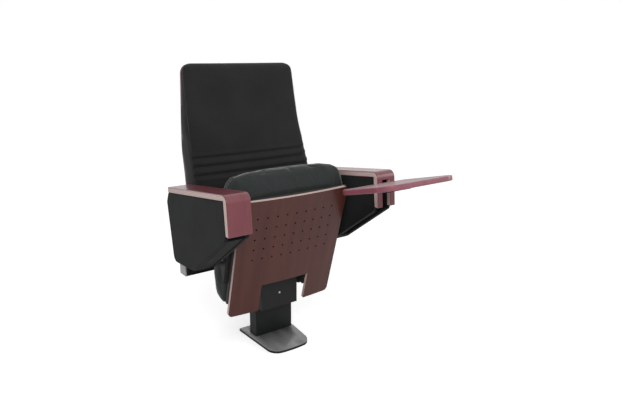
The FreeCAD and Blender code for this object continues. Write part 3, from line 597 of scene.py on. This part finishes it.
SEAT_HALF, SEAT_CROWN, SEAM_SHARE = 0.222, 0.004, 0.62
NOSE_FROM, NOSE_LONG, NOSE_CORNER = 0.11, 0.13, 0.050
NOSE_OUT, NOSE_BOW, NOSE_WIDER = 0.011, 0.007, 0.012
HEEL_FROM, HEEL_LONG, HEEL_OUT = 0.10, 0.07, 0.016
UNDERSIDE = 0.03

seat_soft = link("seat_cushion_soft", clean_copy("seat_cushion"))
seat_floor = min((TO_SEAT @ v.co).z for v in seat_soft.data.vertices)
seat_top = max((TO_SEAT @ v.co).z for v in seat_soft.data.vertices)
for v in seat_soft.data.vertices:
    local = TO_SEAT @ v.co
    nose, heel = unit((-local.y - NOSE_FROM) / NOSE_LONG), unit((local.y - HEEL_FROM) / HEEL_LONG)
    middle = 1 - (local.x / SEAT_HALF) ** 2
    corner = rounding(SEAT_HALF - abs(local.x), NOSE_CORNER)
    local.y += nose * (corner - NOSE_OUT - NOSE_BOW * middle) + heel * HEEL_OUT
    local.z += SEAT_CROWN * middle * (local.z > seat_floor + UNDERSIDE)
    local.x *= 1 + NOSE_WIDER * nose
    v.co = SEAT @ local
finer(foam(seat_soft, shrink=0.001, rise=5, limit=0.0045))
for v in seat_soft.data.vertices:
    local = TO_SEAT @ v.co
    local.z = max(local.z, seat_floor)
    v.co = SEAT @ local
seam_height = (seat_top - seat_floor) * SEAM_SHARE
sew(seat_soft, lambda point: (TO_SEAT @ point).z - seat_floor - seam_height)
seat_cloth = pile_cloth("seat_cloth", (0.020, 0.024, 0.023), (0.032, 0.037, 0.036), 0.45)
cover(seat_soft, "seat_cushion", seat_cloth)


# Back cushion: leans back evenly over the lumbar roll, with three sewn channels across it.
# Its edge wraps round the inner board to the shell; a seam runs round it behind the front edge.
FACE = ((0.462, 0.106), (0.480, 0.090), (0.590, 0.084), (0.776, 0.145), (0.982, 0.187))
CHANNELS = (0.612, 0.6405, 0.669)
LOW, TOP_RING, RINGS = 0.462, 0.9817, 65
WRAP, SIDE_ROUND, FRONT_ROUND, LOW_ROUND, REAR_ROUND = 0.012, 0.028, 0.020, 0.014, 0.009
FLAT_SHARE, HOLLOW, HOLLOW_FROM, HOLLOW_OVER = 0.955, 0.008, 0.5, 0.2
CLEAR, SHELL_REACH, BOARD_REACH, BOARD_END = 0.0003, 0.972, 0.965, 0.967
SHELL_FOOT, SHELL_TIP, BOARD_FOOT, BOARD_TIP = 0.335, 0.975, 0.4635, 0.962
SIDE_SEAM, CHANNEL_NEAR, CHANNEL_FRONT = 0.017, 0.02, 0.014
GROOVE, GROOVE_HALF, ROLL, ROLL_OUT, ROLL_HALF = 0.0065, 0.0045, 0.0015, 0.013, 0.006


def cast(tree, z):
    """Where the front of a board lies, at this height."""
    return tree.ray_cast(Vector((0.03, -1, z)), Vector((0, 1, 0)))[0].y


def ring_at(z):
    """Outline of the cushion at one height, round its front, its sides and the board behind it."""
    half = back_half(z) - rounding(EDGE - z, SIDE_ROUND)
    face = along(FACE, z) + rounding(EDGE - z, FRONT_ROUND) + rounding(z - 0.4615, LOW_ROUND)
    rear = cast(shell_tree, min(z, SHELL_REACH)) - CLEAR - rounding(EDGE - z, REAR_ROUND)
    hollow = rear if z > BOARD_END else cast(board_tree, min(z, BOARD_REACH)) - CLEAR
    inner = min(half - WRAP, back_half(z) - WRAP)
    dish = HOLLOW * unit((z - HOLLOW_FROM) / HOLLOW_OVER)
    across = [k / 6 for k in range(-6, 7)]
    front = [(half * s * FLAT_SHARE, face - dish * (1 - s**2)) for s in across]
    side = face + 0.012
    outline = [(-half, side), *front, (half, side), (half, rear), (inner, rear), (inner, hollow)]
    return outline + [(-inner, hollow), (-inner, rear), (-half, rear)]


def back_form():
    """The cushion's form as one ring of points per height, from its lower edge to its top."""
    form = bmesh.new()
    rings = []
    for z in [LOW + 0.520 * k / RINGS for k in range(RINGS)] + [TOP_RING, TOP_RING]:
        rings.append([form.verts.new((x, y, z)) for x, y in ring_at(z)])
    for low, high in zip(rings, rings[1:]):
        for k in range(len(low)):
            following = (k + 1) % len(low)
            form.faces.new((low[k], low[following], high[following], high[k]))
    form.faces.new(rings[0][::-1])
    form.faces.new(rings[-1])
    bmesh.ops.recalc_face_normals(form, faces=form.faces)
    mesh = bpy.data.meshes.new("back_cushion_soft")
    form.to_mesh(mesh)
    form.free()
    return mesh


def tree_of(piece):
    """The piece's surface, ready to be looked up along a line."""
    corners, faces = [v.co for v in piece.data.vertices], [f.vertices for f in piece.data.polygons]
    return BVHTree.FromPolygons(corners, faces)


shell_tree, board_tree = tree_of(back_shell), tree_of(back_board)
back_soft = link("back_cushion_soft", back_form())
finer(foam(back_soft, shrink=0.0005, rise=5, limit=0.0025))
for v in back_soft.data.vertices:
    x, y, z = v.co
    if z < SHELL_TIP:
        v.co.y = min(y, cast(shell_tree, max(z, SHELL_FOOT)) - CLEAR)
    over_board = abs(x) < back_half(z) - WRAP - 0.002 and 0.463 < z < BOARD_TIP
    if over_board and y > cast(board_tree, max(z, BOARD_FOOT)) - 0.012:
        v.co.y = min(v.co.y, cast(board_tree, max(z, BOARD_FOOT)) - CLEAR)
    for channel in CHANNELS:
        away = abs(z - channel)
        if away < CHANNEL_NEAR and y < along(FACE, z) + CHANNEL_FRONT:
            v.co.y += GROOVE * math.exp(-((away / GROOVE_HALF) ** 2))
            v.co.y -= ROLL * math.exp(-(((away - ROLL_OUT) / ROLL_HALF) ** 2))


def from_seam(point):
    return point.y - along(FACE, point.z) - SIDE_SEAM - rounding(EDGE - point.z, FRONT_ROUND)


sew(back_soft, from_seam)
back_cloth = pile_cloth("back_cloth", (0.013, 0.0135, 0.0135), (0.020, 0.0205, 0.020), 0.25)
cover(back_soft, "back_cushion", back_cloth)


# Stitches: one row of short black thread lengths along the bottom of each channel of the cushion.
# They draw the cloth down through the foam and hold the rolls between the channels.
def finished(tree, laid, material, name):
    """Ends a tree: its instances laid on their points, made real and given their material."""
    laid = add_node(tree, "GeometryNodeInstanceOnPoints", laid).outputs["Instances"]
    whole = add_node(tree, "GeometryNodeRealizeInstances", {"Geometry": laid}).outputs["Geometry"]
    painted = {"Geometry": whole, "Material": material}
    done = add_node(tree, "GeometryNodeSetMaterial", painted).outputs["Geometry"]
    add_node(tree, "NodeGroupOutput", {name: done})


def stitch_tree():
    """Short threads laid along a line, one per pitch."""
    tree = bpy.data.node_groups.new("stitches", "GeometryNodeTree")
    tree.interface.new_socket("Line", in_out="INPUT", socket_type="NodeSocketGeometry")
    for name, value in (("Pitch", 0.006), ("Length", 0.0042), ("Radius", 0.0004)):
        size = tree.interface.new_socket(name, in_out="INPUT", socket_type="NodeSocketFloat")
        size.default_value = value
    tree.interface.new_socket("Thread", in_out="INPUT", socket_type="NodeSocketMaterial")
    tree.interface.new_socket("Stitches", in_out="OUTPUT", socket_type="NodeSocketGeometry")
    given = add_node(tree, "NodeGroupInput").outputs
    line = add_node(tree, "GeometryNodeMeshToCurve", {"Mesh": given["Line"]}).outputs["Curve"]
    steps = {"Curve": line, "Length": given["Pitch"]}
    spots = add_node(tree, "GeometryNodeCurveToPoints", steps, mode="LENGTH").outputs
    size = {"Vertices": 6, "Radius": given["Radius"], "Depth": given["Length"]}
    thread = add_node(tree, "GeometryNodeMeshCylinder", size).outputs["Mesh"]
    laid = {"Points": spots["Points"], "Instance": thread, "Rotation": spots["Rotation"]}
    finished(tree, laid, given["Thread"], "Stitches")
    return tree


def grow(piece, tree, **values):
    """Runs a node tree on the piece with the named inputs, and keeps the result as a plain mesh."""
    modifier = piece.modifiers.new(tree.name, "NODES")
    modifier.node_group = tree
    for item in tree.interface.items_tree:
        if item.in_out == "INPUT" and item.name in values:
            modifier[item.identifier] = values[item.name]
    return settle(piece)


thread_black = moulded_plastic("thread_black", (0.03, 0.03, 0.03), 0.6)
stitches = stitch_tree()
surface = tree_of(back_soft)
ROW_END, THREAD_OUT, ROW_POINTS = 0.02, 0.0002, 60
for row, z in enumerate(CHANNELS):
    reach = back_half(z) - ROW_END
    points = []
    for k in range(ROW_POINTS + 1):
        x = reach * (k / (ROW_POINTS / 2) - 1)
        bottom = surface.ray_cast(Vector((x, -1, z)), Vector((0, 1, 0)))[0]
        points.append(bottom - Vector((0, THREAD_OUT, 0)))
    mesh = bpy.data.meshes.new(f"stitches_{row}")
    mesh.from_pydata(points, [(k, k + 1) for k in range(ROW_POINTS)], [])
    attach(grow(link(f"stitches_{row}", mesh), stitches, Thread=thread_black), "frame")


# Screws: zinc plated round heads with a hexagon socket, four through the back of the shell.
# Two small ones hold the tablet's hinge from below.
HEAD_PROFILE = (
    (2.2, 1.2, True), (2.2, 2.5, True), (3.6, 2.6, False),
    (4.5, 1.9, False), (4.8, 0.9, False), (4.8, 0, False),
)
AROUND = 24


def socket_fit(angle):
    """How much nearer than its corners the side of a hexagon lies, in this direction."""
    half_side = math.pi / 6
    return math.cos(half_side) / math.cos((angle + half_side) % (math.pi / 3) - half_side)


def screw_mesh():
    """One head, turned from its profile in millimetres, its seat on the plane z = 0."""
    form = bmesh.new()
    rings = []
    turn = [math.radians(360 * k / AROUND) for k in range(AROUND)]
    for radius, z, hexagon in HEAD_PROFILE:
        ring = []
        for angle in turn:
            reach = radius * (socket_fit(angle) if hexagon else 1)
            place = (reach * math.cos(angle) / 1000, reach * math.sin(angle) / 1000, z / 1000)
            ring.append(form.verts.new(place))
        rings.append(ring)
    form.faces.new(rings[0])
    for inner, outer in zip(rings, rings[1:]):
        for k in range(AROUND):
            following = (k + 1) % AROUND
            form.faces.new((inner[k], outer[k], outer[following], inner[following]))
    mesh = bpy.data.meshes.new("screw_head")
    bmesh.ops.recalc_face_normals(form, faces=form.faces)
    form.to_mesh(mesh)
    form.free()
    return mesh


def screw_tree():
    """One head on every point, turned to the way the point faces."""
    tree = bpy.data.node_groups.new("screws", "GeometryNodeTree")
    tree.interface.new_socket("Points", in_out="INPUT", socket_type="NodeSocketGeometry")
    tree.interface.new_socket("Head", in_out="INPUT", socket_type="NodeSocketObject")
    size = tree.interface.new_socket("Size", in_out="INPUT", socket_type="NodeSocketFloat")
    size.default_value = 1.0
    tree.interface.new_socket("Finish", in_out="INPUT", socket_type="NodeSocketMaterial")
    tree.interface.new_socket("Screws", in_out="OUTPUT", socket_type="NodeSocketGeometry")
    given = add_node(tree, "NodeGroupInput").outputs
    way = {"Name": "facing"}
    way = add_node(tree, "GeometryNodeInputNamedAttribute", way, data_type="FLOAT_VECTOR")
    turned = {"Vector": way.outputs["Attribute"]}
    turned = add_node(tree, "FunctionNodeAlignRotationToVector", turned, axis="Z")
    head = add_node(tree, "GeometryNodeObjectInfo", {"Object": given["Head"]}).outputs["Geometry"]
    spots = add_node(tree, "GeometryNodeMeshToPoints", {"Mesh": given["Points"]}).outputs["Points"]
    laid = {"Points": spots, "Instance": head, "Rotation": turned.outputs["Rotation"]}
    laid["Scale"] = given["Size"]
    finished(tree, laid, given["Finish"], "Screws")
    return tree


def screwed(name, body, spots, size):
    """Screws at (place, direction) spots, riding on a body."""
    mesh = bpy.data.meshes.new(name)
    mesh.from_pydata([place for place, _ in spots], [], [])
    facing = [number for _, way in spots for number in way]
    mesh.attributes.new("facing", "FLOAT_VECTOR", "POINT").data.foreach_set("vector", facing)
    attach(grow(link(name, mesh), screws, Head=screw_head, Size=size, Finish=zinc), body)


screws = screw_tree()
screw_head = link("screw_head", screw_mesh())
rear_spots = []
for x, z in ((-0.12, 0.50), (-0.12, 0.60), (0.12, 0.50), (0.12, 0.60)):
    place, normal, _, _ = shell_tree.ray_cast(Vector((x, 1, z)), Vector((0, -1, 0)))
    rear_spots.append((place, normal))
screwed("shell_screws", "frame", rear_spots, 1.2)
under = SWING.to_3x3() @ Vector((0, 0, -1))
ledge_spots = []
for step in (0.018, 0.046):
    ledge_spots.append((SWING @ Vector((0.232, BAR_BEND - step, 0.0092)), under))
screwed("tablet_screws", "tablet_arm", ledge_spots, 0.8)
bpy.data.objects.remove(screw_head)


# Studio: pale floor that runs into a white surround, one large soft lamp over the camera's left
# shoulder and a weaker one from the right, and the camera that took the picture.
FLOOR_WIDTH, FLOOR_LIFT, SKY_LIGHT = 120, 0.5, 0.55


def backdrop_material():
    """Pale floor, lifted towards white as the camera sees it; it still takes the seat's shadow."""
    material, tree, shader = new_material("studio_floor", (0.84, 0.84, 0.84), 0.9)
    seen = add_node(tree, "ShaderNodeLightPath").outputs["Is Camera Ray"]
    lifted = {0: seen, 1: FLOOR_LIFT}
    lift = add_node(tree, "ShaderNodeMath", lifted, operation="MULTIPLY").outputs["Value"]
    shader.inputs["Emission Color"].default_value = (1, 1, 1, 1)
    tree.links.new(lift, shader.inputs["Emission Strength"])
    return material


bpy.ops.mesh.primitive_plane_add(size=FLOOR_WIDTH, location=(0, 0, 0))
floor = bpy.context.object
floor.name = "floor"
floor.data.materials.append(backdrop_material())

world = bpy.data.worlds.new("studio")
bpy.context.scene.world = world
world.use_nodes = True
sky = world.node_tree.nodes["Background"]
seen = add_node(world.node_tree, "ShaderNodeLightPath").outputs
shown = seen["Is Camera Ray"]
for ray in ("Is Glossy Ray", "Is Transmission Ray"):
    either = {0: shown, 1: seen[ray]}
    either = add_node(world.node_tree, "ShaderNodeMath", either, operation="MAXIMUM")
    shown = either.outputs["Value"]
strength = {"Value": shown, "To Min": SKY_LIGHT, "To Max": 1.0}
strength = add_node(world.node_tree, "ShaderNodeMapRange", strength)
world.node_tree.links.new(strength.outputs["Result"], sky.inputs["Strength"])
sky.inputs["Color"].default_value = (1, 1, 1, 1)


def soft_lamp(name, place, target, size, power):
    lamp = bpy.data.lights.new(name, "AREA")
    lamp.shape = "DISK"
    lamp.size = size
    lamp.energy = power
    holder = bpy.data.objects.new(name, lamp)
    bpy.context.scene.collection.objects.link(holder)
    holder.location = place
    holder.rotation_euler = (Vector(target) - Vector(place)).to_track_quat("-Z", "Y").to_euler()


soft_lamp("key", (-1.6, -2.6, 2.6), (0, 0, 0.5), 1.6, 55)
soft_lamp("fill", (2.6, -1.4, 1.6), (0, 0, 0.5), 1.8, 22)

lens = bpy.data.cameras.new("camera")
lens.lens = 33.5
camera = bpy.data.objects.new("camera", lens)
bpy.context.scene.collection.objects.link(camera)
turn = Matrix.Rotation(math.radians(-36.4), 4, "Z") @ Matrix.Rotation(math.radians(74.8), 4, "X")
turn = turn @ Matrix.Rotation(math.radians(0.4), 4, "Z")
camera.matrix_world = Matrix.Translation((-1.0514, -1.6668, 1.0275)) @ turn
bpy.context.scene.camera = camera
bpy.context.scene.view_settings.view_transform = "Standard"
